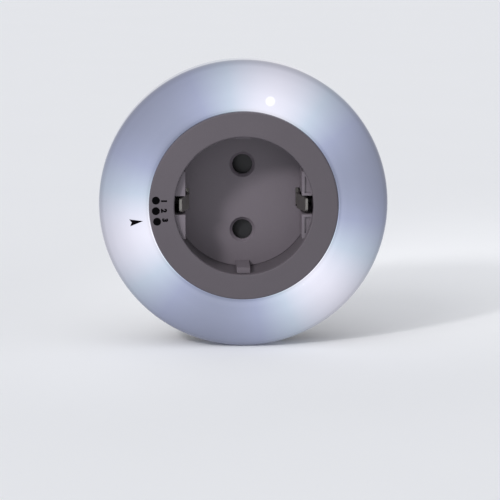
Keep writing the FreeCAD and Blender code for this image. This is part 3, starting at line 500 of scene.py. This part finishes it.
class NIGHTLIGHT_OT_metalwork(bpy.types.Operator):
    """Finish the pins, contacts, earth parts, spring and screws"""

    bl_idname = "nightlight.metalwork"
    bl_label = "Metalwork"

    def execute(self, context):
        finish = context.scene.night_light_finish
        nickel = tuple(finish.nickel)
        dress(["plug_pin_upper", "plug_pin_lower"], plated_metal("pin_nickel", nickel, 0.24, "y"))
        dress(["earth_strap", "earth_clip_left", "earth_clip_right"],
              plated_metal("strip_nickel", shade(nickel, 0.8), 0.48, "y"))
        dress(["socket_contact_upper", "socket_contact_lower"],
              plated_metal("contact_brass", tuple(finish.brass), 0.3, "y"))
        self.coil(plated_metal("spring_steel", shade(nickel, 0.8), 0.25, "x"))
        dress(["housing_screws"], plated_metal("screw_zinc", shade(nickel, 0.9), 0.34, "x"))
        return {"FINISHED"}

    def coil(self, steel):
        """A wound spring, fixed to the housing in place of the CAD spring; it does not shorten when the
        shutter slides towards its seat.
        """
        low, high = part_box("shutter_spring")
        middle = (low + high) / 2
        radius = (high.z - low.z) / 2 - SPRING_WIRE
        length = high.x - low.x - 2 * SPRING_WIRE
        builder = bmesh.new()
        steps = SPRING_TURNS * COIL_STEPS
        rings = []
        for step in range(steps + 1):
            share = self.travel(step / steps)
            turn = 2 * pi * SPRING_TURNS * step / steps
            outward = Vector((0, cos(turn), sin(turn)))
            centre = Vector((low.x + SPRING_WIRE + length * share, middle.y, middle.z)) + outward * radius
            ring = []
            for side in range(WIRE_SIDES):
                around = 2 * pi * side / WIRE_SIDES
                lean = outward * cos(around) + Vector((sin(around), 0, 0))
                ring.append(builder.verts.new(centre + SPRING_WIRE * lean))
            rings.append(ring)
        for near, far in zip(rings, rings[1:]):
            for side in range(WIRE_SIDES):
                after = (side + 1) % WIRE_SIDES
                builder.faces.new((near[side], near[after], far[after], far[side]))
        builder.faces.new(rings[0])
        builder.faces.new(rings[-1][::-1])
        for face in builder.faces:
            face.smooth = True
        spring = piece_from(builder, "wound_spring", "housing", steel)
        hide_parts("shutter_spring")
        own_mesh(spring)

    def travel(self, share):
        """Close the first and the last turn flat, as on a ground spring."""
        flat = CLOSED_TURNS / SPRING_TURNS
        opened = min(max((share - flat) / (1 - 2 * flat), 0.0), 1.0)
        return opened * (1 - CLOSED_PITCH) + share * CLOSED_PITCH


class NIGHTLIGHT_OT_board(bpy.types.Operator):
    """Finish the circuit board and the parts on it"""

    bl_idname = "nightlight.board"
    bl_label = "Board and lamps"

    def execute(self, context):
        dress(["circuit_board"], board_laminate("board_mask"))
        dress(["white_leds"], lamp_epoxy("white_epoxy", srgb(236, 240, 250), 1.0))
        dress(["blue_leds"], lamp_epoxy("blue_epoxy", srgb(96, 128, 220), 0.2))
        dress(["green_leds"], lamp_epoxy("green_epoxy", srgb(96, 190, 120), 0.2))
        dress(["film_capacitor"], moulded_plastic("film_case", srgb(206, 158, 62), 0.3))
        dress(["electrolytic_capacitor"], moulded_plastic("can_sleeve", srgb(30, 34, 56), 0.24))
        dress(["bridge_rectifier"], moulded_plastic("rectifier_case", srgb(34, 34, 36), 0.5))
        dress(["resistors"], banded_resistor("resistor_lacquer"))
        dress(["live_wire"], moulded_plastic("brown_sleeve", srgb(96, 58, 34), 0.4))
        dress(["neutral_wire"], moulded_plastic("blue_sleeve", srgb(40, 82, 168), 0.4))
        return {"FINISHED"}


class NIGHTLIGHT_OT_ring_print(bpy.types.Operator):
    """Print three dots and plain numbers on the flat ring"""

    bl_idname = "nightlight.ring_print"
    bl_label = "Ring print"

    def execute(self, context):
        marks = context.scene.night_light_print
        ink = printed_ink("ring_ink", tuple(context.scene.night_light_finish.ink))
        for place in range(3):
            angle = marks.first_angle + place * marks.dot_pitch
            self.dot(marks, angle, f"print_dot_{place + 1}", ink)
            self.number(marks, angle, place + 1, ink)
        return {"FINISHED"}

    def dot(self, marks, angle, name, ink):
        builder = bmesh.new()
        bmesh.ops.create_circle(builder, cap_ends=True, segments=DOT_SIDES, radius=marks.dot_diameter / 2)
        bmesh.ops.rotate(builder, verts=builder.verts, matrix=Matrix.Rotation(radians(90), 3, "X"))
        centre = (marks.dot_circle * cos(angle), RING_FACE, marks.dot_circle * sin(angle))
        bmesh.ops.translate(builder, verts=builder.verts, vec=centre)
        thickened(builder, marks.ink_height)
        piece_from(builder, name, "housing", ink)

    def number(self, marks, angle, value, ink):
        """A figure whose top points to the plug axis."""
        curve = bpy.data.curves.new(f"figure_{value}", "FONT")
        curve.body = str(value)
        curve.align_x = "CENTER"
        curve.align_y = "CENTER"
        curve.resolution_u = FIGURE_CURVE_STEPS
        curve.offset = FIGURE_WEIGHT
        holder = bpy.data.objects.new(curve.name, curve)
        bpy.context.scene.collection.objects.link(holder)
        bpy.context.view_layer.update()
        flat = bpy.data.meshes.new_from_object(holder)
        bpy.data.objects.remove(holder)
        builder = bmesh.new()
        builder.from_mesh(flat)
        bpy.data.meshes.remove(flat)
        low = Vector(min(vert.co[axis] for vert in builder.verts) for axis in range(3))
        high = Vector(max(vert.co[axis] for vert in builder.verts) for axis in range(3))
        scale = marks.number_height / (high.y - low.y)
        bmesh.ops.translate(builder, verts=builder.verts, vec=-(low + high) / 2)
        bmesh.ops.scale(builder, verts=builder.verts, vec=(scale, scale, scale))
        centre = Vector((marks.number_circle * cos(angle), RING_FACE, marks.number_circle * sin(angle)))
        for vert in builder.verts:
            sideways, upward = vert.co.x, vert.co.y
            vert.co = centre + Vector((upward, 0, -sideways))
        thickened(builder, marks.ink_height)
        piece_from(builder, f"print_number_{value}", "housing", ink)


class NIGHTLIGHT_OT_arrow(bpy.types.Operator):
    """Print the slim arrow on the diffuser, wrapped over its dome"""

    bl_idname = "nightlight.arrow"
    bl_label = "Arrow print"

    def execute(self, context):
        marks = context.scene.night_light_print
        ink = printed_ink("arrow_ink", tuple(context.scene.night_light_finish.ink))
        builder = bmesh.new()
        rows = [self.row(marks, step / ARROW_STEPS) for step in range(ARROW_STEPS + 1)]
        verts = [[builder.verts.new(point) for point in row] for row in rows]
        for near, far in zip(verts, verts[1:]):
            for side in range(2):
                builder.faces.new((near[side], near[side + 1], far[side + 1], far[side]))
        bmesh.ops.remove_doubles(builder, verts=builder.verts, dist=1e-6)
        self.wrap(builder, marks)
        thickened(builder, marks.ink_height)
        piece_from(builder, "print_arrow", "diffuser", ink)
        return {"FINISHED"}

    def row(self, marks, share):
        """Three points across the arrow; the middle one falls short where the notch is."""
        half = marks.arrow_width / 2 * share
        out = marks.arrow_tip + marks.arrow_length * share
        middle = marks.arrow_tip + (marks.arrow_length - marks.arrow_notch) * share
        return [self.spot(marks, out, -half), self.spot(marks, middle, 0), self.spot(marks, out, half)]

    def spot(self, marks, out, aside):
        angle = marks.arrow_angle
        return (out * cos(angle) - aside * sin(angle), CREST_FACE, out * sin(angle) + aside * cos(angle))

    def wrap(self, builder, marks):
        """Push each point back onto the dome."""
        dome = frame["nodes"]["diffuser"]
        surface = BVHTree.FromObject(dome, bpy.context.evaluated_depsgraph_get())
        for vert in builder.verts:
            start = Vector((vert.co.x, CREST_FACE - 0.01, vert.co.z))
            hit = surface.ray_cast(start, Vector((0, 1, 0)))[0]
            if hit is None:
                raise RuntimeError("the arrow misses the diffuser")
            vert.co.y = hit.y - marks.ink_height / 4


class NIGHTLIGHT_OT_stage(bpy.types.Operator):
    """Make the floor, the background, the soft lamps and the camera"""

    bl_idname = "nightlight.stage"
    bl_label = "Stage"

    def execute(self, context):
        stage = context.scene.night_light_stage
        colour = tuple(context.scene.night_light_finish.floor)
        self.floor(colour)
        self.background(context, colour, stage.sky_power)
        self.sun(stage.key_power)
        self.side_lamp(stage.side_power)
        self.camera(context, stage)
        context.scene.view_settings.view_transform = "Standard"
        return {"FINISHED"}

    def floor(self, colour):
        builder = bmesh.new()
        bmesh.ops.create_grid(builder, x_segments=1, y_segments=1, size=FLOOR_REACH)
        mesh = bpy.data.meshes.new("floor")
        builder.to_mesh(mesh)
        builder.free()
        floor = bpy.data.objects.new("floor", mesh)
        floor.location.z = LOWEST
        mesh.materials.append(floor_paint("floor_paint", colour))
        bpy.context.scene.collection.objects.link(floor)

    def background(self, context, colour, power):
        """Pale where it is seen or mirrored, dimmer as a light."""
        world = bpy.data.worlds.new("studio")
        context.scene.world = world
        world.use_nodes = True
        tree = world.node_tree
        shown = tree.nodes["Background"]
        light = tree.nodes.new("ShaderNodeBackground")
        light.inputs["Color"].default_value = SKY_COLOUR
        light.inputs["Strength"].default_value = power
        shown.inputs["Color"].default_value = colour
        path = tree.nodes.new("ShaderNodeLightPath")
        rays = path.outputs["Is Camera Ray"]
        for kind in ("Is Glossy Ray", "Is Transmission Ray"):
            either = tree.nodes.new("ShaderNodeMath")
            either.operation = "MAXIMUM"
            tree.links.new(rays, either.inputs[0])
            tree.links.new(path.outputs[kind], either.inputs[1])
            rays = either.outputs[0]
        choice = tree.nodes.new("ShaderNodeMixShader")
        tree.links.new(rays, choice.inputs["Fac"])
        tree.links.new(light.outputs[0], choice.inputs[1])
        tree.links.new(shown.outputs[0], choice.inputs[2])
        tree.links.new(choice.outputs[0], tree.nodes["World Output"].inputs["Surface"])

    def sun(self, power):
        """A broad, even light with soft shadows."""
        data = bpy.data.lights.new("key_lamp", "SUN")
        data.angle = KEY_WIDTH
        data.energy = power
        lamp = bpy.data.objects.new("key_lamp", data)
        lamp.visible_glossy = False
        lamp.location = KEY_PLACE
        lamp.rotation_euler = (-lamp.location).to_track_quat("-Z", "Y").to_euler()
        bpy.context.scene.collection.objects.link(lamp)

    def side_lamp(self, power):
        """A narrow soft lamp that lifts the upper left."""
        data = bpy.data.lights.new("side_lamp", "SPOT")
        data.spot_size = SIDE_SPREAD
        data.spot_blend = 1.0
        data.shadow_soft_size = SIDE_RADIUS
        data.energy = power
        lamp = bpy.data.objects.new("side_lamp", data)
        lamp.visible_glossy = False
        lamp.location = SIDE_PLACE
        lamp.rotation_euler = (Vector(SIDE_TARGET) - lamp.location).to_track_quat("-Z", "Y").to_euler()
        bpy.context.scene.collection.objects.link(lamp)

    def camera(self, context, stage):
        data = bpy.data.cameras.new("camera")
        data.lens = stage.lens
        data.sensor_width = SENSOR_WIDTH
        data.clip_start, data.clip_end = 0.01, 20.0
        camera = bpy.data.objects.new("camera", data)
        turn, rise = stage.azimuth, stage.elevation
        back = Vector((sin(turn) * cos(rise), -cos(turn) * cos(rise), sin(rise)))
        aim = Vector((stage.aim_across, RING_FACE, stage.aim_up))
        camera.location = aim + back * stage.distance
        camera.rotation_euler = (-back).to_track_quat("-Z", "Y").to_euler()
        context.scene.collection.objects.link(camera)
        context.scene.camera = camera


class NIGHTLIGHT_PT_panel(bpy.types.Panel):
    """Shows the night light's operator buttons and settings"""

    bl_label = "Night Light"
    bl_idname = "NIGHTLIGHT_PT_panel"
    bl_space_type = "VIEW_3D"
    bl_region_type = "UI"
    bl_category = "Night Light"

    def draw(self, context):
        for operator in OPERATORS:
            self.layout.operator(operator.bl_idname)
        for name in GROUPS:
            settings = getattr(context.scene, name)
            for key in settings.__annotations__:
                self.layout.prop(settings, key)


GROUPS = {
    "night_light_print": PrintSettings,
    "night_light_finish": FinishSettings,
    "night_light_stage": StageSettings,
}
OPERATORS = (
    NIGHTLIGHT_OT_diffuser,
    NIGHTLIGHT_OT_housing,
    NIGHTLIGHT_OT_metalwork,
    NIGHTLIGHT_OT_board,
    NIGHTLIGHT_OT_ring_print,
    NIGHTLIGHT_OT_arrow,
    NIGHTLIGHT_OT_stage,
)
CLASSES = (*GROUPS.values(), *OPERATORS, NIGHTLIGHT_PT_panel)


def register():
    for item in CLASSES:
        bpy.utils.register_class(item)
    for name, group in GROUPS.items():
        setattr(bpy.types.Scene, name, PointerProperty(type=group))


def unregister():
    for name in GROUPS:
        delattr(bpy.types.Scene, name)
    for item in reversed(CLASSES):
        bpy.utils.unregister_class(item)


def main():
    register()
    for operator in OPERATORS:
        group, name = operator.bl_idname.split(".")
        getattr(getattr(bpy.ops, group), name)()


if __name__ == "__main__":
    main()
